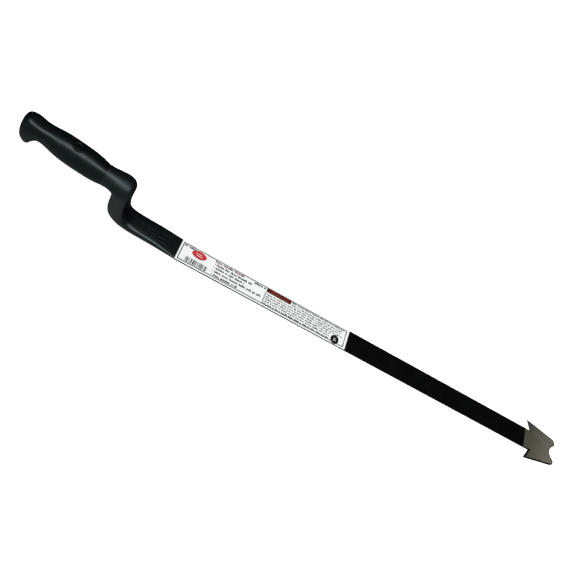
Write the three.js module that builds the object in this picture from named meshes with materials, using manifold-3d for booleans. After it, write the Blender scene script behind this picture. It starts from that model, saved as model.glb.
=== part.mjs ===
// Roofer's slate ripper: a long flat steel blade with a barbed, hooked head, and a cranked
// handle moulded round a steel core. Millimetres, +Z up.
// Origin: middle of the whole length and width, on the blade's underside.
// +X points along the blade to the head, and the handle is at -X. The tool is symmetric about y = 0.

import * as THREE from "three";
import { mergeVertices } from "three/addons/utils/BufferGeometryUtils.js";
import Module from "manifold-3d";

const wasm = await Module();
wasm.setup();

// ---------- driving dimensions ----------

const OVERALL_LENGTH = 894;
const FIT_GAP = 0.3; // left between pieces that touch on the real tool

// blade: one strip of flat steel, with the head cut out of its wide end
const BLADE_WIDTH = 31.75; // 1 1/4 in stock
const BLADE_THICKNESS = 3;
const HEAD_SPAN = 62.7; // from barb tip to barb tip, before the tips are rounded
const HEAD_LENGTH = 61.75; // from the barb tips to the end of the tool
const BARB_HOOK = 8.25; // how far the barb tips hook back past their roots
const BARB_TIP_ROUNDING = 0.8; // taken off each side of a tip's corner
const SHOULDER_SETBACK = 6.5; // from the end of the tool back to the shoulders
const SHOULDER_HALF_WIDTH = 21.8;
const LOBE_HALF_WIDTH = 14.6; // centre line to the crest of each end lobe
const NOTCH_DEPTH = 9.5; // nail notch between the two lobes
// Bezier handle lengths along Y: on the notch's floor, on a lobe's inner side and on its outer side.
const NOTCH_HANDLE = 8.5;
const LOBE_INNER_HANDLE = 4;
const LOBE_OUTER_HANDLE = 5.2;

// tang: the narrow rear end of the blade, let into the underside of the handle
const SOCKET_END_X = -229; // where the moulding ends and the full blade width begins
const TANG_LENGTH = 70;
const TANG_HALF_WIDTH = 11;

// core: flat bar, bent twice, riveted on top of the tang
const CORE_THICKNESS = 5;
const CORE_WIDTH = 18;
const CORE_FOOT_END_X = -262;
const CORE_NECK_X = -321.5;
const CORE_ELBOW_Z = 76;
const CORE_REAR = { x: -434, z: 88.5 };
const CORE_HEEL_RADIUS = 23;
const CORE_ELBOW_RADIUS = 13;
const RIVET_RADIUS = 2.5;
const RIVET_XS = [-293, -281, -269];

// handle
const GRIP_FRONT_X = -347.5; // seam between the grip sleeve and the rigid moulding
const COLLAR_LENGTH = 2.4; // raised bead at that seam
const COLLAR_RISE = 0.22;

// fineness of the curves
const SECTION_POINTS = 36;
const ROWS_PER_STATION = 3;
const CURVE_STEPS = 10;
const BEND_STEPS = 12;
const RIVET_SIDES = 24;
const CUT_OVERRUN = 2; // how far a cutting solid stands past the face it opens

// label on the blade's upper face
const LABEL_LENGTH = 268.6;
const LABEL_THICKNESS = 0.2;
const LABEL_STANDOFF = 0.05;
const LABEL_EDGE_MARGIN = 0.35;
const LABEL_CORNER_RADIUS = 0.6;

// Handle stations, butt to grip front. Each is a section through the handle:
// [top x, top z, underside x, underside z, half width, squareness]; squareness 2 is an ellipse.
const GRIP_STATIONS = [
  [-447.0, 94.5, -446.4, 80.0, 6.5, 2.0],
  [-446.4, 100.8, -445.8, 71.0, 11.2, 2.1],
  [-443.9, 104.8, -442.5, 64.6, 13.4, 2.3],
  [-439.0, 106.2, -437.0, 63.4, 14.2, 2.5],
  [-432.4, 104.8, -431.4, 73.4, 13.2, 2.7],
  [-424.0, 102.2, -425.0, 78.6, 11.8, 2.7],
  [-414.0, 101.2, -415.0, 75.2, 12.8, 2.4],
  [-403.0, 100.8, -404.0, 71.1, 15.0, 2.2],
  [-393.0, 99.9, -394.0, 68.1, 16.1, 2.0],
  [-383.0, 98.3, -384.0, 66.0, 16.3, 2.0],
  [-373.0, 96.4, -374.0, 64.4, 16.2, 2.0],
  [-363.0, 94.2, -364.0, 62.8, 15.8, 2.0],
  [-354.0, 91.2, -354.5, 61.9, 14.7, 2.0],
  [-347.5, 88.7, -347.5, 62.0, 13.3, 2.0],
];

// The same for the rigid moulding, from the grip front over the elbow, down the neck,
// round the heel and along the flat socket to the blade.
const MOULDING_STATIONS = [
  [-347.5, 88.7, -347.5, 62.0, 13.3, 2.0],
  [-339.5, 87.8, -341.4, 62.8, 13.8, 1.95],
  [-330.0, 87.0, -337.6, 63.0, 15.2, 1.9],
  [-320.4, 85.8, -335.4, 61.0, 16.6, 1.9],
  [-313.4, 82.9, -334.0, 57.4, 17.1, 2.1],
  [-310.0, 76.6, -333.2, 54.0, 17.0, 2.4],
  [-309.9, 66.0, -332.7, 50.0, 16.4, 3.0],
  [-310.0, 54.0, -332.4, 45.0, 15.9, 3.4],
  [-309.5, 42.0, -332.2, 37.6, 15.6, 3.5],
  [-308.3, 33.0, -331.4, 28.8, 15.3, 3.5],
  [-306.8, 25.8, -328.9, 19.6, 15.1, 3.4],
  [-304.2, 20.4, -323.0, 11.9, 15.0, 3.3],
  [-301.0, 16.8, -315.4, 6.4, 15.0, 3.3],
  [-296.2, 14.3, -305.4, 3.1, 14.9, 3.6],
  [-288.6, 12.6, -293.6, 1.5, 14.9, 4.0],
  [-277.0, 11.5, -279.0, 0.8, 14.9, 4.2],
  [-262.0, 10.3, -262.0, 0.4, 15.1, 4.4],
  [-250.0, 8.4, -250.0, 0.2, 15.3, 4.8],
  [-238.0, 5.8, -238.0, 0.0, 15.6, 5.4],
  [-229.0, 4.1, -229.0, 0.0, 15.9, 6.0],
];

// ---------- colours ----------

const paintedSteel = new THREE.MeshStandardMaterial({ color: 0x0a0a0b, roughness: 0.45, metalness: 0.2 });
const bareSteel = new THREE.MeshStandardMaterial({ color: 0x6b6a62, roughness: 0.4, metalness: 1 });
const hardPlastic = new THREE.MeshStandardMaterial({ color: 0x141817, roughness: 0.5, metalness: 0 });
const gripPlastic = new THREE.MeshStandardMaterial({ color: 0x161b1a, roughness: 0.55, metalness: 0 });
const labelFilm = new THREE.MeshStandardMaterial({ color: 0xefefec, roughness: 0.5, metalness: 0 });

// ---------- solids ----------

// A three.js geometry as a manifold-3d solid, for joins and cuts.
function toSolid(geometry) {
  const bare = geometry.clone();
  bare.deleteAttribute("normal");
  bare.deleteAttribute("uv");
  const merged = mergeVertices(bare, 1e-4);
  return new wasm.Manifold(
    new wasm.Mesh({
      numProp: 3,
      vertProperties: new Float32Array(merged.attributes.position.array),
      triVerts: new Uint32Array(merged.index.array),
    }),
  );
}

function fromSolid(solid) {
  const mesh = solid.getMesh();
  const geometry = new THREE.BufferGeometry();
  geometry.setAttribute("position", new THREE.BufferAttribute(mesh.vertProperties, 3));
  geometry.setIndex(new THREE.BufferAttribute(mesh.triVerts, 1));
  geometry.computeVertexNormals();
  return geometry;
}

// A flat plate: an outline in XY, raised from z = bottom to z = top.
function plate(shape, bottom, top) {
  const settings = { depth: top - bottom, bevelEnabled: false, curveSegments: CURVE_STEPS };
  return new THREE.ExtrudeGeometry(shape, settings).translate(0, 0, bottom);
}

// An outline drawn in side view (x, z), made solid across the tool's width about y = 0.
function acrossWidth(shape, width) {
  const geometry = new THREE.ExtrudeGeometry(shape, { depth: width, bevelEnabled: false });
  return geometry.rotateX(Math.PI / 2).translate(0, width / 2, 0);
}

// Points in between the stations, on smooth curves through them.
function smoothStations(stations) {
  const steps = ROWS_PER_STATION * (stations.length - 1);
  const through = (pick) => new THREE.CatmullRomCurve3(stations.map((s) => new THREE.Vector3(...pick(s))));
  const top = through((s) => [s[0], 0, s[1]]);
  const underside = through((s) => [s[2], 0, s[3]]);
  const section = through((s) => [s[4], s[5], 0]);
  const rows = [];
  for (let i = 0; i <= steps; i += 1) {
    const t = i / steps;
    const { x: halfWidth, y: squareness } = section.getPoint(t);
    rows.push({ top: top.getPoint(t), underside: underside.getPoint(t), halfWidth, squareness });
  }
  return rows;
}

// A closed skin over a row of superellipse sections, with a flat fan on each end.
function loft(rows) {
  const positions = [];
  const indices = [];
  const rounded = (value, power) => Math.sign(value) * Math.abs(value) ** power;
  for (const { top, underside, halfWidth, squareness } of rows) {
    const centre = top.clone().add(underside).multiplyScalar(0.5);
    const up = top.clone().sub(centre);
    for (let i = 0; i < SECTION_POINTS; i += 1) {
      const angle = (2 * Math.PI * i) / SECTION_POINTS;
      const side = halfWidth * rounded(Math.cos(angle), 2 / squareness);
      const rise = rounded(Math.sin(angle), 2 / squareness);
      positions.push(centre.x + rise * up.x, side, centre.z + rise * up.z);
    }
  }
  for (let row = 0; row + 1 < rows.length; row += 1) {
    for (let i = 0; i < SECTION_POINTS; i += 1) {
      const a = row * SECTION_POINTS + i;
      const b = row * SECTION_POINTS + ((i + 1) % SECTION_POINTS);
      indices.push(a, b, a + SECTION_POINTS, b, b + SECTION_POINTS, a + SECTION_POINTS);
    }
  }
  for (const [row, facing] of [[0, -1], [rows.length - 1, 1]]) {
    const { top, underside } = rows[row];
    const hub = positions.length / 3;
    positions.push((top.x + underside.x) / 2, 0, (top.z + underside.z) / 2);
    for (let i = 0; i < SECTION_POINTS; i += 1) {
      const a = row * SECTION_POINTS + i;
      const b = row * SECTION_POINTS + ((i + 1) % SECTION_POINTS);
      indices.push(hub, ...(facing > 0 ? [a, b] : [b, a]));
    }
  }
  const geometry = new THREE.BufferGeometry();
  geometry.setAttribute("position", new THREE.Float32BufferAttribute(positions, 3));
  geometry.setIndex(indices);
  return geometry;
}

function named(name, geometry, material) {
  const mesh = new THREE.Mesh(geometry, material);
  mesh.name = name;
  return mesh;
}

// ---------- blade ----------

// The outline's +Y half, from the middle of the end notch round the head and back to the tang.
function bladeHalfOutline() {
  const endX = OVERALL_LENGTH / 2;
  const bladeX = SOCKET_END_X + FIT_GAP;
  const shoulder = new THREE.Vector2(endX - SHOULDER_SETBACK, SHOULDER_HALF_WIDTH);
  const tip = new THREE.Vector2(endX - HEAD_LENGTH, HEAD_SPAN / 2);
  const root = new THREE.Vector2(tip.x + BARB_HOOK, BLADE_WIDTH / 2);
  const beside = (end) => end.clone().sub(tip).setLength(BARB_TIP_ROUNDING).add(tip);
  const path = new THREE.Path();
  path.moveTo(endX - NOTCH_DEPTH, 0);
  const lobeHandleY = LOBE_HALF_WIDTH - LOBE_INNER_HANDLE;
  path.bezierCurveTo(endX - NOTCH_DEPTH, NOTCH_HANDLE, endX, lobeHandleY, endX, LOBE_HALF_WIDTH);
  path.quadraticCurveTo(endX, LOBE_HALF_WIDTH + LOBE_OUTER_HANDLE, shoulder.x, shoulder.y);
  path.lineTo(beside(shoulder).x, beside(shoulder).y);
  path.quadraticCurveTo(tip.x, tip.y, beside(root).x, beside(root).y);
  path.lineTo(root.x, root.y);
  path.lineTo(bladeX, BLADE_WIDTH / 2);
  path.lineTo(bladeX, TANG_HALF_WIDTH);
  path.lineTo(SOCKET_END_X - TANG_LENGTH, TANG_HALF_WIDTH);
  return path.getPoints(CURVE_STEPS);
}

function bladeShape() {
  const half = bladeHalfOutline();
  const mirrored = half.slice(1).reverse().map((point) => new THREE.Vector2(point.x, -point.y));
  return new THREE.Shape([...half, ...mirrored]);
}

function rivetBar(x, radius, bottom, top) {
  const bar = new THREE.CylinderGeometry(radius, radius, top - bottom, RIVET_SIDES);
  return bar.rotateX(Math.PI / 2).translate(x, 0, (bottom + top) / 2);
}

function rivetHole(x, bottom, top) {
  return toSolid(rivetBar(x, RIVET_RADIUS + FIT_GAP, bottom - CUT_OVERRUN, top + CUT_OVERRUN));
}

function blade() {
  let solid = toSolid(plate(bladeShape(), 0, BLADE_THICKNESS));
  for (const x of RIVET_XS) {
    solid = solid.subtract(rivetHole(x, 0, BLADE_THICKNESS));
  }
  return named("blade", fromSolid(solid), paintedSteel);
}

// ---------- core ----------

const CORE_BOTTOM_Z = BLADE_THICKNESS + FIT_GAP;
const CORE_TOP_Z = CORE_BOTTOM_Z + CORE_THICKNESS;

// The bent bar's centre line in side view, from the front of its foot to the rear of the grip.
function coreCentreLine(growth) {
  const footZ = (CORE_BOTTOM_Z + CORE_TOP_Z) / 2;
  const corners = [
    new THREE.Vector2(CORE_FOOT_END_X + growth, footZ),
    new THREE.Vector2(CORE_NECK_X, footZ),
    new THREE.Vector2(CORE_NECK_X, CORE_ELBOW_Z),
    new THREE.Vector2(CORE_REAR.x - growth, CORE_REAR.z),
  ];
  const radii = [0, CORE_HEEL_RADIUS, CORE_ELBOW_RADIUS, 0];
  const line = [corners[0]];
  for (let i = 1; i + 1 < corners.length; i += 1) {
    line.push(...bend(corners[i - 1], corners[i], corners[i + 1], radii[i]));
  }
  line.push(corners[corners.length - 1]);
  return line;
}

// A corner rounded to an arc of the given radius.
function bend(before, corner, after, radius) {
  const back = before.clone().sub(corner).normalize();
  const on = after.clone().sub(corner).normalize();
  const half = Math.acos(back.dot(on)) / 2;
  const setback = radius / Math.tan(half);
  const centre = back.clone().add(on).normalize().multiplyScalar(radius / Math.sin(half)).add(corner);
  const from = corner.clone().addScaledVector(back, setback).sub(centre);
  const turn = Math.PI - 2 * half;
  const sense = Math.sign(on.cross(back));
  const points = [];
  for (let i = 0; i <= BEND_STEPS; i += 1) {
    points.push(from.clone().rotateAround(new THREE.Vector2(), (sense * turn * i) / BEND_STEPS).add(centre));
  }
  return points;
}

// The bar, or with a growth the pocket that it lies in.
function coreSolid(growth) {
  const line = coreCentreLine(growth);
  const reach = CORE_THICKNESS / 2 + growth;
  const sides = [[], []];
  line.forEach((point, i) => {
    const along = line[Math.min(i + 1, line.length - 1)].clone().sub(line[Math.max(i - 1, 0)]).normalize();
    const across = new THREE.Vector2(-along.y, along.x).multiplyScalar(reach);
    sides[0].push(point.clone().add(across));
    sides[1].unshift(point.clone().sub(across));
  });
  return toSolid(acrossWidth(new THREE.Shape(sides.flat()), CORE_WIDTH + 2 * growth));
}

function core() {
  let solid = coreSolid(0);
  for (const x of RIVET_XS) {
    solid = solid.subtract(rivetHole(x, CORE_BOTTOM_Z, CORE_TOP_Z));
  }
  return named("crank_core", fromSolid(solid), bareSteel);
}

function rivets() {
  return RIVET_XS.map((x, i) =>
    named("core_rivet_" + (i + 1), rivetBar(x, RIVET_RADIUS, 0, CORE_TOP_Z), bareSteel),
  );
}

// ---------- handle ----------

function tangPocket() {
  const length = TANG_LENGTH + FIT_GAP + CUT_OVERRUN;
  const height = BLADE_THICKNESS + FIT_GAP + CUT_OVERRUN;
  const box = new THREE.BoxGeometry(length, 2 * (TANG_HALF_WIDTH + FIT_GAP), height);
  return toSolid(box.translate(SOCKET_END_X + CUT_OVERRUN - length / 2, 0, height / 2 - CUT_OVERRUN));
}

function gripSleeve() {
  const rows = smoothStations(GRIP_STATIONS);
  for (const end of [rows[rows.length - 1].top, rows[rows.length - 1].underside]) {
    end.x = GRIP_FRONT_X - FIT_GAP / 2;
  }
  const solid = toSolid(loft(rows)).subtract(coreSolid(FIT_GAP));
  return named("grip_sleeve", fromSolid(solid), gripPlastic);
}

function handleMoulding() {
  const body = smoothStations(MOULDING_STATIONS);
  const front = body[0];
  const raised = (x, rise) => ({
    top: new THREE.Vector3(x, 0, front.top.z + rise),
    underside: new THREE.Vector3(x, 0, front.underside.z - rise),
    halfWidth: front.halfWidth + rise,
    squareness: front.squareness,
  });
  const collarX = GRIP_FRONT_X + FIT_GAP / 2;
  const collar = [
    raised(collarX, 0),
    raised(collarX + COLLAR_LENGTH / 4, COLLAR_RISE),
    raised(collarX + (COLLAR_LENGTH * 3) / 4, COLLAR_RISE),
    raised(collarX + COLLAR_LENGTH, 0),
  ];
  const rest = body.filter((row) => row.underside.x > collarX + COLLAR_LENGTH);
  const solid = toSolid(loft([...collar, ...rest]))
    .subtract(coreSolid(FIT_GAP))
    .subtract(tangPocket());
  return named("handle_moulding", fromSolid(solid), hardPlastic);
}

// ---------- label ----------

function label() {
  const x0 = SOCKET_END_X + FIT_GAP;
  const x1 = x0 + LABEL_LENGTH;
  const y1 = BLADE_WIDTH / 2 - LABEL_EDGE_MARGIN;
  const r = LABEL_CORNER_RADIUS;
  const shape = new THREE.Shape();
  shape.moveTo(x0, -y1);
  shape.lineTo(x1 - r, -y1);
  shape.quadraticCurveTo(x1, -y1, x1, -y1 + r);
  shape.lineTo(x1, y1 - r);
  shape.quadraticCurveTo(x1, y1, x1 - r, y1);
  shape.lineTo(x0, y1);
  shape.closePath();
  const bottom = BLADE_THICKNESS + LABEL_STANDOFF;
  return named("blade_label", plate(shape, bottom, bottom + LABEL_THICKNESS), labelFilm);
}

const slateRipper = new THREE.Group();
slateRipper.add(blade(), core(), ...rivets(), handleMoulding(), gripSleeve(), label());

export default slateRipper;
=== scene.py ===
"""Slate ripper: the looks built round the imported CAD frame.

Metres, +Z up, +X along the blade to the head, y = 0 is the tool's plane of symmetry, and the
blade's underside lies on z = 0. Lengths in millimetres are multiplied by MM.
"""

import math
import random

import bmesh
import bpy
import numpy as np
from mathutils import Matrix, Vector
from mathutils.geometry import tessellate_polygon


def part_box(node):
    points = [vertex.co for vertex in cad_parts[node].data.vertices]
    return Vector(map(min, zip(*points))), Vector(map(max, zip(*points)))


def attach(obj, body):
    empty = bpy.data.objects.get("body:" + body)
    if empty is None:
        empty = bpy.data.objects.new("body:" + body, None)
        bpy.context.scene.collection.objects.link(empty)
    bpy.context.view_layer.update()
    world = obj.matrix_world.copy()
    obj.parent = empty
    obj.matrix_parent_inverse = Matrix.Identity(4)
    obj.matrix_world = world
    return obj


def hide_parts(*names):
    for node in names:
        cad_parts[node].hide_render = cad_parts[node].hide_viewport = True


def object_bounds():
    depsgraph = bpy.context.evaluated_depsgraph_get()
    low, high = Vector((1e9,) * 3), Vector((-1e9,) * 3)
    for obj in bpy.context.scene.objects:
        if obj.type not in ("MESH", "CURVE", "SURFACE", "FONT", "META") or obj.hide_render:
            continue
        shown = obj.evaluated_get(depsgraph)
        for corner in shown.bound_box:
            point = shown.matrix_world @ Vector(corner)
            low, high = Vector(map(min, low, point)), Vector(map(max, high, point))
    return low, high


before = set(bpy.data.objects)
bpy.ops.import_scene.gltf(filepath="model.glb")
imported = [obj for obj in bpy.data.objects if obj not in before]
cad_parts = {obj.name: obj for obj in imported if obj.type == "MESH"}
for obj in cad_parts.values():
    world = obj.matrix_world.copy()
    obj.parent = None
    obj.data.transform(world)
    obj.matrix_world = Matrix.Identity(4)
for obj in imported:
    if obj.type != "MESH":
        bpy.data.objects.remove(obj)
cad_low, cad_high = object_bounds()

MM = 0.001

# ---------- camera ----------

CAMERA_AT = Vector((-0.2916, -0.3790, 0.7028))
CAMERA_AZIMUTH = math.radians(28.57)  # turned from +Y towards +X
CAMERA_DIP = math.radians(56.47)  # below the horizon
CAMERA_ROLL = math.radians(53.49)
CAMERA_LENS = 37.5  # on a 36 mm sensor


def add_camera():
    forward = Vector(
        (
            math.sin(CAMERA_AZIMUTH) * math.cos(CAMERA_DIP),
            math.cos(CAMERA_AZIMUTH) * math.cos(CAMERA_DIP),
            -math.sin(CAMERA_DIP),
        )
    )
    level = forward.cross(Vector((0, 0, 1))).normalized()
    over = level.cross(forward)
    right = level * math.cos(CAMERA_ROLL) + over * math.sin(CAMERA_ROLL)
    up = right.cross(forward)
    data = bpy.data.cameras.new("camera")
    data.lens = CAMERA_LENS
    data.sensor_width = 36.0
    data.clip_start = 0.01
    data.clip_end = 50.0
    camera = bpy.data.objects.new("camera", data)
    bpy.context.scene.collection.objects.link(camera)
    turn = Matrix((right, up, -forward)).transposed()
    camera.matrix_world = Matrix.Translation(CAMERA_AT) @ turn.to_4x4()
    bpy.context.scene.camera = camera


# ---------- studio ----------

FLOOR_DROP = 0.0004
FLOOR_TONES = (0.86, 0.88)
FLOOR_GLOW = 0.97
BACKDROP_RADIUS = 6.0

STRIP_AT = Vector((0.0, -0.17, 1.15))
STRIP_AIM = Vector((0.0, -0.03, 0.0))
STRIP_SIZE = (0.32, 1.5)
STRIP_POWER = 16.0

GLOW_TOWARDS = (-0.1, -0.95, -0.10)
GLOW_RANGE = (-0.45, 0.85, 0.022, 0.42)  # from the dark side to the bright one, and their strengths
GLOW_COLOUR = (0.90, 1.0, 0.96, 1.0)


def add_strip_light():
    """One long light overhead, whose reflection is the bright band along the handle."""
    data = bpy.data.lights.new("strip_overhead", "AREA")
    data.shape = "RECTANGLE"
    data.size, data.size_y = STRIP_SIZE
    data.energy = STRIP_POWER
    light = bpy.data.objects.new("strip_overhead", data)
    bpy.context.scene.collection.objects.link(light)
    light.location = STRIP_AT
    light.rotation_mode = "QUATERNION"
    light.rotation_quaternion = (STRIP_AIM - STRIP_AT).to_track_quat("-Z", "X")


def add_studio():
    add_strip_light()
    add_world()

    bm = bmesh.new()
    bmesh.ops.create_grid(bm, x_segments=2, y_segments=2, size=BACKDROP_RADIUS)
    floor = new_object("floor", bm)
    floor.location.z = -FLOOR_DROP
    pale = floor_material()
    add_stage(floor, pale)

    # A pale dome far off behind the floor leaves no horizon in a low view, and lights nothing.
    bm = bmesh.new()
    bmesh.ops.create_uvsphere(bm, u_segments=48, v_segments=24, radius=BACKDROP_RADIUS)
    backdrop = new_object("backdrop", bm)
    backdrop.visible_shadow = False
    add_stage(backdrop, pale)
    bpy.context.scene.view_settings.view_transform = "Standard"


def add_stage(piece, material):
    """Something that the camera sees, but no reflection does."""
    piece.data.materials.append(material)
    piece.visible_glossy = False
    piece.visible_diffuse = False


def add_world():
    """A dim room that is brighter towards -Y, where a pale bench would show in the tool's side."""
    world = bpy.data.worlds.new("studio")
    world.use_nodes = True
    tree = world.node_tree
    background = tree.nodes["Background"]
    coordinates = tree.nodes.new("ShaderNodeTexCoord")
    towards = tree.nodes.new("ShaderNodeVectorMath")
    towards.operation = "DOT_PRODUCT"
    towards.inputs[1].default_value = GLOW_TOWARDS
    glow = tree.nodes.new("ShaderNodeMapRange")
    set_range(glow, *GLOW_RANGE)
    tree.links.new(coordinates.outputs["Generated"], towards.inputs[0])
    tree.links.new(towards.outputs["Value"], glow.inputs["Value"])
    tree.links.new(glow.outputs["Result"], background.inputs["Strength"])
    background.inputs["Color"].default_value = GLOW_COLOUR
    bpy.context.scene.world = world


def set_range(node, *settings):
    """Sets a Map Range node's limits: from low, from high, to low and to high."""
    node.interpolation_type = "SMOOTHSTEP"
    for key, value in zip(("From Min", "From Max", "To Min", "To Max"), settings):
        node.inputs[key].default_value = value


# ---------- mesh helpers ----------


def new_object(name, bm, smooth_below=None):
    mesh = bpy.data.meshes.new(name)
    bm.to_mesh(mesh)
    bm.free()
    piece = bpy.data.objects.new(name, mesh)
    bpy.context.scene.collection.objects.link(piece)
    if smooth_below is not None:
        smooth(piece, smooth_below)
    return piece


def smooth(piece, angle):
    """Smooth shading over every edge that bends by less than the angle, in degrees."""
    piece.data.shade_smooth()
    piece.data.set_sharp_from_angle(angle=math.radians(angle))


def finish_piece(piece, material, replaces=()):
    piece.data.materials.append(material)
    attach(piece, "root")
    if replaces:
        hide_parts(*replaces)


def cut(piece, tool):
    """Takes the tool's solid out of the piece, and deletes the tool."""
    modifier = piece.modifiers.new("cut", "BOOLEAN")
    modifier.operation = "DIFFERENCE"
    modifier.solver = "EXACT"
    modifier.object = tool
    graph = bpy.context.evaluated_depsgraph_get()
    mesh = bpy.data.meshes.new_from_object(piece.evaluated_get(graph))
    piece.modifiers.remove(modifier)
    old = piece.data
    piece.data = mesh
    mesh.name = old.name
    bpy.data.meshes.remove(old)
    bpy.data.objects.remove(tool)


def prism(bm, outline, bottom, top):
    """A closed upright solid over a flat outline of (x, y) points, counter-clockwise."""
    low = [bm.verts.new((x, y, bottom)) for x, y in outline]
    high = [bm.verts.new((x, y, top)) for x, y in outline]
    bm.faces.new(reversed(low))
    bm.faces.new(high)
    for i, vert in enumerate(low):
        j = (i + 1) % len(low)
        bm.faces.new((vert, low[j], high[j], high[i]))


def rectangle(x0, x1, y0, y1):
    return [(x0, y0), (x1, y0), (x1, y1), (x0, y1)]


def ellipse(x, y, radius_x, radius_y, count=48, start=0.0):
    turn = [start + 2 * math.pi * i / count for i in range(count)]
    return [(x + radius_x * math.cos(a), y + radius_y * math.sin(a)) for a in turn]


# ---------- material helpers ----------


class Nodes:
    """A material's node tree with short ways to add the nodes used here."""

    def __init__(self, name):
        self.material = bpy.data.materials.new(name)
        self.material.use_nodes = True
        self.tree = self.material.node_tree
        self.shader = self.tree.nodes["Principled BSDF"]

    def link(self, source, target):
        self.tree.links.new(source, target)

    def add(self, kind, **inputs):
        node = self.tree.nodes.new(kind)
        for key, value in inputs.items():
            node.inputs[key.replace("_", " ")].default_value = value
        return node

    def place(self, stretch=(1.0, 1.0, 1.0)):
        """Object coordinates, stretched."""
        coordinates = self.tree.nodes.new("ShaderNodeTexCoord")
        mapping = self.add("ShaderNodeMapping", Scale=stretch)
        self.link(coordinates.outputs["Object"], mapping.inputs["Vector"])
        return mapping.outputs["Vector"]

    def axis(self, letter):
        """One of the object coordinates, in metres."""
        axes = self.tree.nodes.new("ShaderNodeSeparateXYZ")
        self.link(self.place(), axes.inputs[0])
        return axes.outputs[letter]

    def noise(self, scale, detail=3.0, roughness=0.5, stretch=(1.0, 1.0, 1.0)):
        node = self.add("ShaderNodeTexNoise", Scale=scale, Detail=detail, Roughness=roughness)
        self.link(self.place(stretch), node.inputs["Vector"])
        return node.outputs["Fac"]

    def ramp(self, value, low, high, to_low, to_high):
        """The value eased from low..high to to_low..to_high, and held beyond them."""
        node = self.tree.nodes.new("ShaderNodeMapRange")
        set_range(node, low, high, to_low, to_high)
        self.link(value, node.inputs["Value"])
        return node.outputs["Result"]

    def mix(self, factor, first, second):
        """Between two colours, each a colour or a socket."""
        node = self.tree.nodes.new("ShaderNodeMix")
        node.data_type = "RGBA"
        for key, value in ((6, first), (7, second)):
            if isinstance(value, tuple):
                node.inputs[key].default_value = (*value, 1.0)
            else:
                self.link(value, node.inputs[key])
        self.link(factor, node.inputs[0])
        return node.outputs[2]

    def maths(self, operation, first, second):
        node = self.tree.nodes.new("ShaderNodeMath")
        node.operation = operation
        for key, value in ((0, first), (1, second)):
            if isinstance(value, (int, float)):
                node.inputs[key].default_value = value
            else:
                self.link(value, node.inputs[key])
        return node.outputs[0]

    def bump(self, height, distance, strength=1.0, under=None):
        node = self.add("ShaderNodeBump", Strength=strength, Distance=distance)
        self.link(height, node.inputs["Height"])
        if under is not None:
            self.link(under, node.inputs["Normal"])
        return node.outputs["Normal"]

    def finish(self, **sockets):
        for key, value in sockets.items():
            socket = self.shader.inputs[key.replace("_", " ")]
            if isinstance(value, (int, float)):
                socket.default_value = value
            else:
                self.link(value, socket)
        return self.material


# ---------- materials ----------

PLASTIC_TONES = ((0.0010, 0.0016, 0.0016), (0.0022, 0.0030, 0.0030))  # dark and light
PLASTIC_TINT = (0.76, 0.93, 1.0, 1.0)  # of its reflections
ROUGHENED_Z = (0.055, 0.085)  # heights between which the moulding goes from one roughness to the other
PAINT_END = 382.3 * MM  # where the black paint stops on the blade

PAINT_TONES = ((0.0010, 0.0010, 0.0011), (0.0020, 0.0020, 0.0022))
PAINT_RAGGED = 0.0016  # how far the paint's edge wanders
STEEL_AT_PAINT = (0.22, 0.22, 0.150)
STEEL_AT_TIP = (0.66, 0.63, 0.52)
STEEL_BLOTCH = (0.17, 0.16, 0.125)
STEEL_GRINDING = (0.31, 0.30, 0.25)
# painted shade: the colour of the head's chamfer, darkened as if it reflected the dark room
CHAMFER_PAINTED_SHADE = (0.022, 0.023, 0.022)
STEEL_SIDE = (0.005, 0.005, 0.005)


def floor_material():
    nodes = Nodes("pale floor")
    tone = nodes.noise(3.0, 2.0)
    shade = nodes.mix(tone, (FLOOR_TONES[0],) * 3, (FLOOR_TONES[1],) * 3)
    nodes.shader.inputs["Roughness"].default_value = 0.9
    nodes.shader.inputs["Specular IOR Level"].default_value = 0.0
    nodes.shader.inputs["Emission Strength"].default_value = FLOOR_GLOW
    nodes.shader.inputs["Emission Color"].default_value = (1.0, 1.0, 1.0, 1.0)
    return nodes.finish(Base_Color=shade)


def plastic(name, dark, light, roughness, specular):
    """Black moulded plastic with the fine spark-eroded grain of its mould."""
    nodes = Nodes(name)
    cloud = nodes.noise(22.0, 4.0, 0.6)
    colour = nodes.mix(cloud, dark, light)
    height = nodes.axis("Z")
    blotch = nodes.ramp(nodes.noise(60.0, 5.0, 0.65), 0.3, 0.7, -0.03, 0.05)
    rough = nodes.maths("ADD", nodes.ramp(height, *ROUGHENED_Z, *roughness), blotch)
    flow = nodes.bump(nodes.noise(35.0, 2.0), 0.00008)
    grain = nodes.bump(nodes.noise(2600.0, 3.0, 0.6), 0.00003, under=flow)
    nodes.shader.inputs["Specular IOR Level"].default_value = specular
    nodes.shader.inputs["Specular Tint"].default_value = PLASTIC_TINT
    return nodes.finish(Base_Color=colour, Roughness=rough, Normal=grain)


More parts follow.
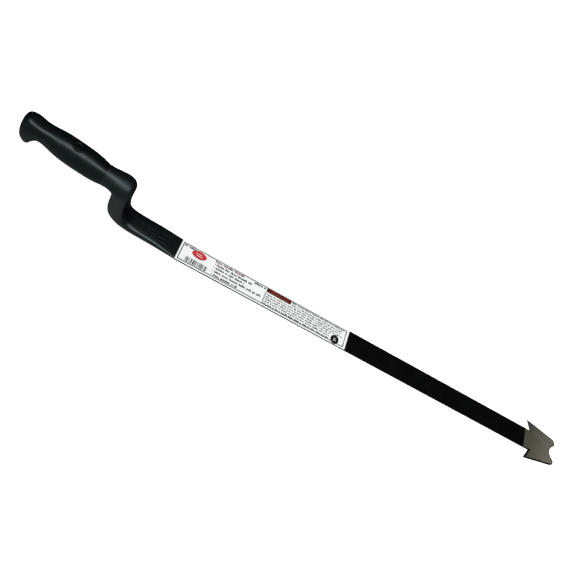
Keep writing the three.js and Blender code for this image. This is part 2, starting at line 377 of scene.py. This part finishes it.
def blade_material():
    """Satin black paint that stops short of the head, whose ground steel is bare."""
    nodes = Nodes("blade paint and steel")
    x = nodes.axis("X")
    wander = nodes.maths("SUBTRACT", nodes.noise(420.0, 3.0), 0.5)
    along = nodes.maths("ADD", x, nodes.maths("MULTIPLY", wander, PAINT_RAGGED))
    bare = nodes.ramp(along, PAINT_END - 0.0003, PAINT_END + 0.0005, 0.0, 1.0)

    towards_tip = nodes.ramp(x, PAINT_END, cad_high.x, 0.0, 1.0)
    steel = nodes.mix(towards_tip, STEEL_AT_PAINT, STEEL_AT_TIP)
    blotch = nodes.ramp(nodes.noise(90.0, 5.0, 0.65), 0.35, 0.7, 0.0, 1.0)
    steel = nodes.mix(nodes.maths("MULTIPLY", blotch, 0.4), steel, STEEL_BLOTCH)
    grinding = nodes.noise(240.0, 6.0, 0.7, stretch=(9.0, 0.5, 1.0))
    steel = nodes.mix(nodes.maths("MULTIPLY", grinding, 0.35), steel, STEEL_GRINDING)

    # The chamfer round the head is painted darker than its face, a painted shade standing in for the
    # dark room it reflects; the upright sides are darker still.
    geometry = nodes.tree.nodes.new("ShaderNodeNewGeometry")
    facing = nodes.tree.nodes.new("ShaderNodeSeparateXYZ")
    nodes.link(geometry.outputs["Normal"], facing.inputs[0])
    flat = nodes.maths("ABSOLUTE", facing.outputs["Z"], 0)
    steel = nodes.mix(nodes.ramp(flat, 0.93, 0.98, 1.0, 0.0), steel, CHAMFER_PAINTED_SHADE)
    steel = nodes.mix(nodes.ramp(flat, 0.20, 0.50, 1.0, 0.0), steel, STEEL_SIDE)

    paint = nodes.mix(nodes.noise(30.0, 4.0), *PAINT_TONES)
    colour = nodes.mix(bare, paint, steel)
    paint_rough = nodes.ramp(nodes.noise(70.0, 5.0, 0.6), 0.3, 0.7, 0.26, 0.34)
    steel_rough = nodes.ramp(grinding, 0.3, 0.7, 0.40, 0.54)
    rough = nodes.maths(
        "ADD",
        nodes.maths("MULTIPLY", paint_rough, nodes.maths("SUBTRACT", 1.0, bare)),
        nodes.maths("MULTIPLY", steel_rough, bare),
    )
    peel = nodes.bump(nodes.noise(900.0, 2.0), 0.00002)
    scratches = nodes.bump(grinding, 0.00004, under=peel)
    nodes.shader.inputs["Specular IOR Level"].default_value = 0.14
    return nodes.finish(Base_Color=colour, Metallic=bare, Roughness=rough, Normal=scratches)


def plain_steel():
    nodes = Nodes("core steel")
    streaks = nodes.noise(300.0, 4.0, 0.6, stretch=(1.0, 6.0, 1.0))
    colour = nodes.mix(streaks, (0.20, 0.19, 0.18), (0.34, 0.33, 0.31))
    rough = nodes.ramp(streaks, 0.3, 0.7, 0.35, 0.5)
    nodes.shader.inputs["Metallic"].default_value = 1.0
    return nodes.finish(Base_Color=colour, Roughness=rough, Normal=nodes.bump(streaks, 0.00003))


def film_material():
    nodes = Nodes("label film")
    tone = nodes.noise(45.0, 4.0, 0.6)
    colour = nodes.mix(tone, (0.82, 0.83, 0.82), (0.87, 0.88, 0.87))
    rough = nodes.ramp(nodes.noise(120.0, 3.0), 0.3, 0.7, 0.42, 0.55)
    ripple = nodes.bump(nodes.noise(55.0, 2.0), 0.00005)
    nodes.shader.inputs["Specular IOR Level"].default_value = 0.25
    return nodes.finish(Base_Color=colour, Roughness=rough, Normal=ripple)


def ink(name, dark, light):
    """Printed ink that is a little uneven, as flexographic print is."""
    nodes = Nodes(name)
    colour = nodes.mix(nodes.noise(700.0, 4.0, 0.7), dark, light)
    rough = nodes.ramp(nodes.noise(300.0, 2.0), 0.3, 0.7, 0.42, 0.55)
    nodes.shader.inputs["Specular IOR Level"].default_value = 0.12
    return nodes.finish(Base_Color=colour, Roughness=rough)


# ---------- handle ----------

# Sections in millimetres, as in the CAD:
# [top x, top z, underside x, underside z, half width, squareness]; squareness 2 is an ellipse.
GRIP_STATIONS = [
    [-447.0, 94.5, -446.4, 80.0, 6.5, 2.0],
    [-446.4, 100.8, -445.8, 71.0, 11.2, 2.1],
    [-443.9, 104.8, -442.5, 64.6, 13.4, 2.3],
    [-439.0, 106.2, -437.0, 63.4, 14.2, 2.5],
    [-432.4, 104.8, -431.4, 73.4, 13.2, 2.7],
    [-424.0, 102.2, -425.0, 78.6, 11.8, 2.7],
    [-414.0, 101.2, -415.0, 75.2, 12.8, 2.4],
    [-403.0, 100.8, -404.0, 71.1, 15.0, 2.2],
    [-393.0, 99.9, -394.0, 68.1, 16.1, 2.0],
    [-383.0, 98.3, -384.0, 66.0, 16.3, 2.0],
    [-373.0, 96.4, -374.0, 64.4, 16.2, 2.0],
    [-363.0, 94.2, -364.0, 62.8, 15.8, 2.0],
    [-354.0, 91.2, -354.5, 61.9, 14.7, 2.0],
    [-347.5, 88.7, -347.5, 62.0, 13.3, 2.0],
]
MOULDING_STATIONS = [
    [-347.5, 88.7, -347.5, 62.0, 13.3, 2.0],
    [-339.5, 87.8, -341.4, 62.8, 13.8, 1.95],
    [-330.0, 87.0, -337.6, 63.0, 15.2, 1.9],
    [-320.4, 85.8, -335.4, 61.0, 16.6, 1.9],
    [-313.4, 82.9, -334.0, 57.4, 17.1, 2.1],
    [-310.0, 76.6, -333.2, 54.0, 17.0, 2.4],
    [-309.9, 66.0, -332.7, 50.0, 16.4, 3.0],
    [-310.0, 54.0, -332.4, 45.0, 15.9, 3.4],
    [-309.5, 42.0, -332.2, 37.6, 15.6, 3.5],
    [-308.3, 33.0, -331.4, 28.8, 15.3, 3.5],
    [-306.8, 25.8, -328.9, 19.6, 15.1, 3.4],
    [-304.2, 20.4, -323.0, 11.9, 15.0, 3.3],
    [-301.0, 16.8, -315.4, 6.4, 15.0, 3.3],
    [-296.2, 14.3, -305.4, 3.1, 14.9, 3.6],
    [-288.6, 12.6, -293.6, 1.5, 14.9, 4.0],
    [-277.0, 11.5, -279.0, 0.8, 14.9, 4.2],
    [-262.0, 10.3, -262.0, 0.4, 15.1, 4.4],
    [-250.0, 8.4, -250.0, 0.2, 15.3, 4.8],
    [-238.0, 5.8, -238.0, 0.0, 15.6, 5.4],
    [-229.0, 4.1, -229.0, 0.0, 15.9, 6.0],
]
FIT_GAP = 0.3  # between pieces that touch on the real tool, as in the CAD
SEAM_SHOWN = 0.02  # between the two visible pieces
LIP_LENGTH = 0.3  # of the sleeve's straight front end
LIP_CLEAR = 0.8  # from the last smooth row of the sleeve to the seam
COLLAR_LENGTH = 2.4
COLLAR_RISE = 0.22
COLLAR_START = 0.05  # from the seam to the foot of the bead
COLLAR_STEPS = 8
COLLAR_CLEAR = 0.3  # from the bead to the next row of the moulding
NOSE_ROWS = ((0.45, 0.0), (0.12, 0.12), (0.0, 0.4))  # back from the socket's end, and taken in
NOSE_CLEAR = 0.5
BUTT_ROWS = ((0.08, 0.55), (0.3, 0.5), (0.55, 0.38), (0.8, 0.18))  # share of the section, and bulge
BUTT_BULGE = 0.4
SECTION_POINTS = 96
ROWS_PER_STATION = 8
HANDLE_SMOOTHING = 38  # degrees
CUT_OVERRUN = 2.0  # how far a cutting solid stands past the face it opens


def smooth_rows(stations, per_station):
    """Catmull-Rom rows through the stations, each of the same six values as a station."""
    table = np.array(stations)
    before = np.vstack([2 * table[0] - table[1], table, 2 * table[-1] - table[-2]])
    rows = []
    for i in range(len(table) - 1):
        a, b, c, d = before[i : i + 4]
        for step in range(per_station):
            t = step / per_station
            bend = (2 * a - 5 * b + 4 * c - d) * t**2
            twist = (3 * b - a - 3 * c + d) * t**3
            rows.append((2 * b + (c - a) * t + bend + twist) / 2)
    rows.append(table[-1])
    return rows


def grown(row, x, rise):
    """The row's section set upright at x, and larger all round by rise."""
    _, top_z, _, under_z, half_width, squareness = row
    return np.array([x, top_z + rise, x, under_z - rise, half_width + rise, squareness])


def section(row):
    """The section's points, in metres."""
    top_x, top_z, under_x, under_z, half_width, squareness = row
    centre = np.array([(top_x + under_x) / 2, 0, (top_z + under_z) / 2])
    up = np.array([top_x, 0, top_z]) - centre
    angles = 2 * math.pi * np.arange(SECTION_POINTS) / SECTION_POINTS
    power = 2 / squareness
    side = np.sign(np.cos(angles)) * np.abs(np.cos(angles)) ** power * half_width
    rise = np.sign(np.sin(angles)) * np.abs(np.sin(angles)) ** power
    points = centre + rise[:, None] * up
    points[:, 1] += side
    return points * MM


def loft(name, rows):
    """A closed skin over the rows' sections, with both ends filled."""
    bm = bmesh.new()
    rings = [[bm.verts.new(point) for point in section(row)] for row in rows]
    for ring, following in zip(rings, rings[1:]):
        for i in range(SECTION_POINTS):
            j = (i + 1) % SECTION_POINTS
            bm.faces.new((ring[i], ring[j], following[j], following[i]))
    for ring, outward in ((rings[0], False), (rings[-1], True)):
        bm.faces.new(ring if outward else reversed(ring))
    return new_object(name, bm, HANDLE_SMOOTHING)


def butt_cap(first):
    """Rows that close the butt in a low dome, smallest first."""
    centre = np.array([(first[0] + first[2]) / 2, (first[1] + first[3]) / 2] * 2)
    rows = []
    for share, bulge in BUTT_ROWS:
        row = first.copy()
        row[:4] = centre + (first[:4] - centre) * share
        row[[0, 2]] -= bulge * BUTT_BULGE
        row[4] *= share
        rows.append(row)
    return rows


def grip_sleeve():
    rows = smooth_rows(GRIP_STATIONS, ROWS_PER_STATION)
    front = rows[-1]
    seam = front[0] - SEAM_SHOWN / 2
    body = [row for row in rows if row[0] < seam - LIP_CLEAR]
    lip = [grown(front, seam - back, 0.0) for back in (LIP_LENGTH, 0.0)]
    piece = loft("grip_sleeve_skin", butt_cap(rows[0]) + body + lip)
    finish_piece(piece, materials["grip"], ["grip_sleeve"])


def collar_rows(front):
    """The low bead with which the moulding starts at the seam."""
    seam = front[0] + SEAM_SHOWN / 2
    rows = [grown(front, seam, 0.0)]
    for i in range(COLLAR_STEPS + 1):
        share = i / COLLAR_STEPS
        rise = COLLAR_RISE * math.sin(math.pi * share)
        rows.append(grown(front, seam + COLLAR_START + COLLAR_LENGTH * share, rise))
    return rows


def handle_moulding():
    rows = smooth_rows(MOULDING_STATIONS, ROWS_PER_STATION)
    collar = collar_rows(rows[0])
    end = rows[-1]
    first_x = collar[-1][0] + COLLAR_CLEAR
    body = [row for row in rows if row[2] > first_x and row[0] < end[0] - NOSE_CLEAR]
    nose = [grown(end, end[0] - back, -shrink) for back, shrink in NOSE_ROWS]
    piece = loft("handle_moulding_skin", collar + body + nose)
    cut(piece, tang_pocket())
    smooth(piece, HANDLE_SMOOTHING)
    finish_piece(piece, materials["moulding"], ["handle_moulding"])


def tang_pocket():
    """The space in the socket's underside that the blade's tang fills."""
    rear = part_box("blade")[0].x - FIT_GAP * MM
    front = (SOCKET_END + CUT_OVERRUN) * MM
    half_width = (TANG_HALF_WIDTH + FIT_GAP) * MM
    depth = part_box("crank_core")[0].z
    bm = bmesh.new()
    prism(bm, rectangle(rear, front, -half_width, half_width), -CUT_OVERRUN * MM, depth)
    return new_object("tang_pocket", bm)


def top_surface(stations):
    """A function giving the handle's upper surface height at (x, y), in metres."""
    rows = np.array(smooth_rows(stations, ROWS_PER_STATION)) * [MM, MM, MM, MM, MM, 1.0]
    order = np.argsort(rows[:, 0])
    rows = rows[order]

    def height(x, y):
        wanted = (rows[:, k] for k in (1, 3, 4, 5))
        top, low, half_width, squareness = (np.interp(x, rows[:, 0], column) for column in wanted)
        half = (top - low) / 2
        inside = max(0.0, 1 - abs(y / half_width) ** squareness)
        return (top + low) / 2 + half * inside ** (1 / squareness)

    return height


def relief(bm, inside_points, height, profile, sink):
    """A closed patch lying on a curved surface: rings of points from the centre out.

    The profile gives each ring's share of the patch's size, and its height over the surface.
    """
    rings = []
    for share, rise in profile:
        rings.append([bm.verts.new((x, y, height(x, y) + rise)) for x, y in inside_points(share)])
    floor = [bm.verts.new((x, y, height(x, y) - sink)) for x, y in inside_points(profile[-1][0])]
    rings.append(floor)
    for ring, following in zip(rings, rings[1:]):
        for i, vert in enumerate(ring):
            j = (i + 1) % len(ring)
            bm.faces.new((ring[j], vert, following[i], following[j]))
    bm.faces.new(rings[0])
    bm.faces.new(reversed(floor))


BADGE_X = -384.5
BADGE_SIZE = (6.9, 6.2)  # half length, half width
BADGE_POINTS = 40
# Share of the oval's size, and height: a shallow dish, then a rounded rim.
BADGE_DISH = [(0.05, 0.1), (0.5, 0.08), (0.72, 0.1)]
BADGE_RIM = [(0.79, 0.7), (0.86, 0.9), (0.93, 0.7), (1.0, 0.0)]
RELIEF_SINK = 0.4  # how far a raised patch reaches into what it stands on


def grip_badge():
    """A plain raised oval rim on the top of the grip, with nothing in it."""

    def oval(share):
        half_length, half_width = (half * share * MM for half in BADGE_SIZE)
        return ellipse(BADGE_X * MM, 0.0, half_length, half_width, BADGE_POINTS)

    profile = [(share, rise * MM) for share, rise in BADGE_DISH + BADGE_RIM]
    bm = bmesh.new()
    relief(bm, oval, top_surface(GRIP_STATIONS), profile, RELIEF_SINK * MM)
    piece = new_object("grip_badge", bm, smooth_below=50)
    finish_piece(piece, materials["badge"])


EMBOSSING_ROWS = [(3.4, -286.5, -266.0), (-1.2, -284.5, -252.5), (-6.0, -284.0, -248.5)]  # y, x, x
DASH_HEIGHT = 3.0  # across the row
DASH_LENGTHS = (1.5, 1.9, 2.3)
DASH_GAP = 0.8
DASH_PROFILE = [(0.5, 0.36), (0.75, 0.28), (1.0, 0.0)]  # share of the dash's size, and rise
WORD_GAP = 2.2
WORD_GAP_CHANCE = 0.16


def socket_embossing():
    """Rows of plain raised dashes on the socket's upper face."""
    height = top_surface(MOULDING_STATIONS)
    dice = random.Random(4)
    bm = bmesh.new()
    for y, start, end in EMBOSSING_ROWS:
        x = start
        while x < end:
            length = dice.choice(DASH_LENGTHS)
            if dice.random() < WORD_GAP_CHANCE:
                x += WORD_GAP
                continue
            dash(bm, height, x, x + length, y)
            x += length + DASH_GAP
    piece = new_object("socket_embossing", bm, smooth_below=40)
    finish_piece(piece, materials["moulding"])


def dash(bm, height, x0, x1, y):
    """One raised mark with sloping sides, standing on the surface."""
    middle = (x0 + x1) / 2
    half_length = (x1 - x0) / 2

    def outline(share):
        """The mark's foot drawn in by the same amount on all four sides."""
        reach = half_length * share
        half_height = DASH_HEIGHT / 2 - half_length * (1 - share)
        corners = rectangle(middle - reach, middle + reach, y - half_height, y + half_height)
        return [(x * MM, v * MM) for x, v in corners]

    profile = [(share, rise * MM) for share, rise in DASH_PROFILE]
    relief(bm, outline, height, profile, RELIEF_SINK * MM)


# ---------- blade ----------

# Millimetres, as in the CAD, down to the lobes' handles.
SOCKET_END = -229.0
BLADE_START = SOCKET_END + FIT_GAP
TANG_HALF_WIDTH = 11.0
BLADE_HALF_WIDTH = 15.875
BLADE_THICKNESS = 3.0
BARB_TIP = (385.25, 31.35)
BARB_ROOT = (393.5, 15.875)
BARB_TIP_ROUNDING = 0.8
SHOULDER = (440.5, 21.8)
LOBE_HALF_WIDTH = 14.6
NOTCH_DEPTH = 9.5
NOTCH_HANDLE = 8.5
LOBE_INNER_HANDLE = 4.0
LOBE_OUTER_HANDLE = 5.2
LOBE_INNER_STEPS = 20
LOBE_OUTER_STEPS = 10
BARB_TIP_STEPS = 4
BARB_TIP_SHARPENED = 0.7  # share of the tip's rounding lost where the edge is taken in most
EDGE_BREAK = 0.35
HEAD_CHAMFER = 2.1
CHAMFER_SLOPE = 0.6  # the chamfer's depth for its width
EDGE_LAYERS = ((1.0, 0.0), (0.45, 0.4), (0.0, 1.0))  # share of the width taken in, and of the depth
UNDERSIDE_TAKE = 0.3
MITRE_LIMIT = 0.3  # least cosine between a corner's bisector and its sides' normals
BLADE_SMOOTHING = 18  # degrees, less than the head's chamfer slopes
RIVET_HOLE = 2.8
HOLE_TURN = 0.04
RIVETS = ("core_rivet_1", "core_rivet_2", "core_rivet_3")


def curve(points, count):
    """A Bezier curve's points after its first, for 3 or 4 control points."""
    made = []
    degree = len(points) - 1
    for i in range(1, count + 1):
        t = i / count
        weights = [math.comb(degree, k) * (1 - t) ** (degree - k) * t**k for k in range(degree + 1)]
        made.append(tuple(sum(w * p[axis] for w, p in zip(weights, points)) for axis in (0, 1)))
    return made


def blade_half(take):
    """The +Y half's outline from the end notch round to the tang, in millimetres.

    It lies inside the full outline by the edge's width at each point, times take.
    """
    end = cad_high.x / MM
    paint_x = PAINT_END / MM
    floor = (end - NOTCH_DEPTH, 0.0)
    floor_handle = (end - NOTCH_DEPTH, NOTCH_HANDLE)
    lobe = (end, LOBE_HALF_WIDTH)
    inner_handle = (end, LOBE_HALF_WIDTH - LOBE_INNER_HANDLE)
    outer_handle = (end, LOBE_HALF_WIDTH + LOBE_OUTER_HANDLE)
    path = [floor]
    path += curve([floor, floor_handle, inner_handle, lobe], LOBE_INNER_STEPS)
    path += curve([lobe, outer_handle, SHOULDER], LOBE_OUTER_STEPS)
    tip_at = len(path)
    path.append(BARB_TIP)
    path.append(BARB_ROOT)
    path.append((paint_x, BLADE_HALF_WIDTH))
    path.append((BLADE_START, BLADE_HALF_WIDTH))
    path.append((BLADE_START, TANG_HALF_WIDTH))
    path.append((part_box("blade")[0].x / MM, TANG_HALF_WIDTH))
    mirrored = path + [(x, -y) for x, y in reversed(path[1:])]
    width = [HEAD_CHAMFER if on_head(x) else EDGE_BREAK for x, _ in mirrored]
    moved = [tuple(point) for point in inset(mirrored, np.array(width) * take)[: len(path)]]
    moved[0] = (moved[0][0], 0.0)
    before, tip, after = moved[tip_at - 1 : tip_at + 2]
    rounding = BARB_TIP_ROUNDING * (1 - BARB_TIP_SHARPENED * take)
    start, finish = (step_towards(tip, other, rounding) for other in (before, after))
    moved[tip_at : tip_at + 1] = [start] + curve([start, tip, finish], BARB_TIP_STEPS)
    return moved


def on_head(x):
    """Whether x, in millimetres, is past the paint's end, where the steel is ground."""
    return x > PAINT_END / MM + 1


def step_towards(start, other, distance):
    gap = math.dist(start, other)
    return tuple(a + (b - a) * distance / gap for a, b in zip(start, other))


def blade_outline(take):
    half = blade_half(take)
    return half + [(x, -y) for x, y in reversed(half[1:])]


def inset(outline, amounts):
    """The outline with each corner moved in along its bisector.

    The sides beside a corner move in by its amount, except where it is too sharp for that.
    """
    points = np.array(outline)
    before, after = np.roll(points, 1, axis=0), np.roll(points, -1, axis=0)
    along_in = (points - before) / np.linalg.norm(points - before, axis=1)[:, None]
    along_out = (after - points) / np.linalg.norm(after - points, axis=1)[:, None]
    normal_in = np.stack([-along_in[:, 1], along_in[:, 0]], axis=1)
    normal_out = np.stack([-along_out[:, 1], along_out[:, 0]], axis=1)
    bisector = normal_in + normal_out
    bisector /= np.linalg.norm(bisector, axis=1)[:, None]
    reach = 1 / np.maximum((bisector * normal_in).sum(axis=1), MITRE_LIMIT)
    return points + bisector * (reach * amounts)[:, None]


def edge_depth(x):
    """How far the top edge's chamfer reaches down: deep on the ground head, slight on the shank."""
    return HEAD_CHAMFER * CHAMFER_SLOPE if on_head(x) else EDGE_BREAK


def blade():
    rings = []
    for take, depth in EDGE_LAYERS:
        outline = blade_outline(take)
        rings.append([(x, y, BLADE_THICKNESS - edge_depth(x) * depth) for x, y in outline])
    for take, depth in reversed(EDGE_LAYERS):
        outline = blade_outline(take * UNDERSIDE_TAKE)
        rings.append([(x, y, EDGE_BREAK * depth) for x, y in outline])
    bm = bmesh.new()
    outer = skin(bm, rings)
    holes = []
    for i, name in enumerate(RIVETS):
        rivet_low, rivet_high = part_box(name)
        middle = (rivet_low.x + rivet_high.x) / 2 / MM
        # Each hole is turned a little from the last, so that no three corners lie in one line.
        circle = ellipse(middle, 0.0, RIVET_HOLE, RIVET_HOLE, start=HOLE_TURN * i)[::-1]
        holes.append(skin(bm, [[(x, y, z) for x, y in circle] for z in (BLADE_THICKNESS, 0.0)]))
    for end, facing in ((0, 1), (1, -1)):
        fill(bm, [outer[end]] + [hole[end] for hole in holes], facing)
    piece = new_object("blade_steel", bm, BLADE_SMOOTHING)
    finish_piece(piece, materials["blade"], ["blade"])


def skin(bm, rings):
    """Walls down through rings of millimetre points. Returns the first and last rings' vertices."""
    made = [[bm.verts.new(Vector(point) * MM) for point in ring] for ring in rings]
    for ring, following in zip(made, made[1:]):
        for i, vert in enumerate(ring):
            j = (i + 1) % len(ring)
            bm.faces.new((ring[j], vert, following[i], following[j]))
    return made[0], made[-1]


def fill(bm, loops, facing):
    """Flat triangles inside the first loop and outside the others, facing up (1) or down (-1)."""
    corners = [[vert.co / MM for vert in loop] for loop in loops]
    flat = [vert for loop in loops for vert in loop]
    for triangle in tessellate_polygon(corners):
        a, b, c = (flat[i].co for i in triangle)
        turn = (b - a).cross(c - a).z
        order = triangle if turn * facing > 0 else reversed(triangle)
        bm.faces.new([flat[i] for i in order])


# ---------- label ----------

# Label millimetres: u runs from the label's left end, and v from its centre line.
LABEL_INK = 0.02
LABEL_CORNER = 0.6
CORNER_STEPS = 4
FRAME = (2.4, 265.0, -13.3, 13.1)  # u from, u to, v from, v to
FRAME_LINE = 1.25
DIVIDER_U = 130.6
DIVIDER_CLEAR = 0.2  # between the divider's top and the band
BADGE_CENTRE = (28.0, 5.7)
BADGE_RADII = (10.6, 5.6)
BADGE_BARS = [(22.5, 31.5, 7.1), (24.5, 33.5, 4.4)]  # u from, u to, v
BADGE_BAR_HALF = 0.4
BARCODE = (12.3, 43.9, -11.4, -4.0)
BARCODE_UNIT = 0.58
BARCODE_BARS = (1, 2, 2, 3)  # widths to choose from, in units
BARCODE_GAPS = (1, 1, 1, 2)
BARCODE_FOOT_MARGIN = 1.5
BARCODE_FOOT_DROP = 0.9
BAND = (131.4, 170.8, 6.3, 13.3)
DISC = (249.6, -8.4, 6.8)  # u, v, radius
DISC_BARS = ((1.5, 1.7), (-1.3, 2.3))  # v from the disc's centre, and half length
DISC_BAR_HALF = 0.5

# Rows of print: u from, u to and v. A letter is its height and its pitch.
CODE_ROW = (4.4, 24.0, 10.3)
CODE_LETTER = (2.8, 1.7)
SIDE_ROW = (111.3, 129.6, 10.1)
SIDE_LETTER = (3.2, 1.9)
HEADING = (51.3, 96.0, 10.2)
HEADING_LETTER = (3.1, 1.9)
LIST_ROWS = [(54.5, 108.9, 5.6), (54.5, 98.0, 0.8), (54.5, 126.1, -4.4), (54.5, 91.0, -9.6)]
LIST_LETTER = (3.3, 1.6)
LIST_DOT_U = 52.0
LIST_DOT_RADIUS = 0.7
LIST_DOT_POINTS = 12
BAND_GLYPHS = (139.0, 166.0, 9.8)
BAND_LETTER = (2.4, 2.6)
BARCODE_FOOT_LETTER = (0.9, 1.5)
FINE_LETTER = (2.1, 1.25)
FINE_ROWS = 7
FINE_TOP = 10.7
FINE_PITCH = 3.6
FINE_END = 261.0
FINE_UNEVEN = 2.5  # by which the fine rows' ends differ
FINE_BESIDE_BAND = 2  # rows that start after the band
FINE_BEFORE_DISC = 4  # rows above those that stop at the disc
FINE_MARGIN = (2, 2.8, 3)  # after the band, after the divider and before the disc

WORD_LETTERS = (2, 9)
FIRST_WORD_LETTERS = (3, 8)
SPACE = 1.1  # between words, in pitches
LETTER_WIDTHS = (0.7, 0.95)  # in pitches
LETTER_HEIGHTS = (0.72, 0.72, 0.72, 1.0)  # shares of the row's height to choose from


def label_box():
    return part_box("blade_label")


def on_label(u, v):
    """Label millimetres to metres."""
    low, _ = label_box()
    return low.x + u * MM, v * MM


def print_piece(name, marks, material, coats=1):
    """Thin closed patches of ink on the label. Each mark is a list of (u, v) corners.

    A mark that is printed over another stands more coats high, so that their faces never coincide.
    """
    _, high = label_box()
    bm = bmesh.new()
    for mark in marks:
        prism(bm, [on_label(u, v) for u, v in mark], high.z, high.z + coats * LABEL_INK * MM)
    piece = new_object(name, bm)
    finish_piece(piece, material)


def text_row(dice, start, end, v, tall, pitch):
    """Blocks that stand for the letters of a row of print."""
    marks = []
    u = start
    word = dice.randint(*FIRST_WORD_LETTERS)
    while u < end:
        if word == 0:
            u += pitch * SPACE
            word = dice.randint(*WORD_LETTERS)
            continue
        wide = pitch * dice.uniform(*LETTER_WIDTHS)
        high = tall * dice.choice(LETTER_HEIGHTS)
        marks.append(rectangle(u, min(u + wide, end), v - tall / 2, v - tall / 2 + high))
        u += pitch
        word -= 1
    return marks


def outline_marks(u0, u1, v0, v1, thick):
    """Four strips round a rectangle."""
    return [
        rectangle(u0, u1, v1 - thick, v1),
        rectangle(u0, u1, v0, v0 + thick),
        rectangle(u0, u0 + thick, v0 + thick, v1 - thick),
        rectangle(u1 - thick, u1, v0 + thick, v1 - thick),
    ]


def label_film():
    """The bare film, with rounded corners."""
    low, high = label_box()
    radius = LABEL_CORNER * MM
    left, right = low.x + radius, high.x - radius
    near, far = low.y + radius, high.y - radius
    corners = []
    for x, y, start in ((right, near, -90), (right, far, 0), (left, far, 90), (left, near, 180)):
        for step in range(CORNER_STEPS + 1):
            angle = math.radians(start + 90 / CORNER_STEPS * step)
            corners.append((x + radius * math.cos(angle), y + radius * math.sin(angle)))
    bm = bmesh.new()
    prism(bm, corners, low.z, high.z)
    finish_piece(new_object("label_film", bm), materials["film"], ["blade_label"])


def fine_print(dice):
    """The rows beside and below the band, which stop short of the disc."""
    after_band, after_divider, before_disc = FINE_MARGIN
    marks = []
    for row in range(FINE_ROWS):
        start = DIVIDER_U + after_divider
        if row < FINE_BESIDE_BAND:
            start = BAND[1] + after_band
        end = FINE_END - FINE_UNEVEN * (row % 3)
        if row >= FINE_BEFORE_DISC:
            end = DISC[0] - DISC[2] - before_disc
        marks += text_row(dice, start, end, FINE_TOP - FINE_PITCH * row, *FINE_LETTER)
    return marks


def black_print(dice):
    marks = text_row(dice, *CODE_ROW, *CODE_LETTER)
    marks += text_row(dice, *SIDE_ROW, *SIDE_LETTER)
    for start, end, v in LIST_ROWS:
        marks += text_row(dice, start, end, v, *LIST_LETTER)
        marks.append(ellipse(LIST_DOT_U, v, LIST_DOT_RADIUS, LIST_DOT_RADIUS, LIST_DOT_POINTS))
    return marks + barcode(dice)


def white_bars():
    """Two plain bars on the oval, and two on the disc."""
    bars = []
    for start, end, v in BADGE_BARS:
        bars.append(rectangle(start, end, v - BADGE_BAR_HALF, v + BADGE_BAR_HALF))
    disc_u, disc_v, _ = DISC
    for rise, reach in DISC_BARS:
        v = disc_v + rise
        bars.append(rectangle(disc_u - reach, disc_u + reach, v - DISC_BAR_HALF, v + DISC_BAR_HALF))
    return bars


def label():
    label_film()
    dice = random.Random(11)
    lines = outline_marks(*FRAME, FRAME_LINE)
    divider_end = DIVIDER_U + FRAME_LINE
    lines.append(rectangle(DIVIDER_U, divider_end, FRAME[2] + FRAME_LINE, BAND[2] - DIVIDER_CLEAR))
    print_piece("label_lines", lines, materials["grey ink"])
    print_piece("label_fine_print", fine_print(dice), materials["grey ink"])
    print_piece("label_print_black", black_print(dice), materials["black ink"])
    print_piece("label_badge", [ellipse(*BADGE_CENTRE, *BADGE_RADII)], materials["red ink"])
    print_piece("label_print_white", white_bars(), materials["white ink"], coats=2)
    heading = text_row(dice, *HEADING, *HEADING_LETTER)
    print_piece("label_heading", heading, materials["heading ink"])
    print_piece("label_band", [rectangle(*BAND)], materials["band ink"], coats=2)
    glyphs = text_row(dice, *BAND_GLYPHS, *BAND_LETTER)
    print_piece("label_band_marks", glyphs, materials["band mark ink"], coats=3)
    disc_u, disc_v, disc_radius = DISC
    disc = ellipse(disc_u, disc_v, disc_radius, disc_radius)
    print_piece("label_disc", [disc], materials["disc ink"])


def barcode(dice):
    """Upright bars of random width, which spell nothing."""
    u0, u1, v0, v1 = BARCODE
    marks = []
    u = u0
    while u < u1:
        wide = BARCODE_UNIT * dice.choice(BARCODE_BARS)
        marks.append(rectangle(u, min(u + wide, u1), v0, v1))
        u += wide + BARCODE_UNIT * dice.choice(BARCODE_GAPS)
    start, finish = u0 + BARCODE_FOOT_MARGIN, u1 - BARCODE_FOOT_MARGIN
    return marks + text_row(dice, start, finish, v0 - BARCODE_FOOT_DROP, *BARCODE_FOOT_LETTER)


# ---------- everything together ----------

materials = {
    "grip": plastic("grip plastic", *PLASTIC_TONES, (0.34, 0.34), 0.25),
    "badge": plastic("badge plastic", *PLASTIC_TONES, (0.28, 0.28), 0.18),
    "moulding": plastic("moulding plastic", *PLASTIC_TONES, (0.31, 0.43), 0.37),
    "blade": blade_material(),
    "steel": plain_steel(),
    "film": film_material(),
    "grey ink": ink("grey ink", (0.012, 0.013, 0.012), (0.035, 0.037, 0.035)),
    "white ink": ink("white ink", (0.62, 0.62, 0.60), (0.74, 0.74, 0.72)),
    "black ink": ink("black ink", (0.006, 0.006, 0.006), (0.018, 0.018, 0.018)),
    "band mark ink": ink("band mark ink", (0.17, 0.03, 0.02), (0.24, 0.05, 0.035)),
    "disc ink": ink("disc ink", (0.004, 0.004, 0.004), (0.010, 0.010, 0.010)),
    "red ink": ink("red ink", (0.46, 0.012, 0.02), (0.62, 0.04, 0.05)),
    "heading ink": ink("heading ink", (0.10, 0.009, 0.040), (0.17, 0.022, 0.07)),
    "band ink": ink("band ink", (0.052, 0.006, 0.004), (0.095, 0.013, 0.008)),
}

add_camera()
add_studio()
blade()
handle_moulding()
socket_embossing()
grip_sleeve()
grip_badge()
label()
for node in ("crank_core", *RIVETS):
    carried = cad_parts[node]
    carried.data.materials.clear()
    carried.data.materials.append(materials["steel"])
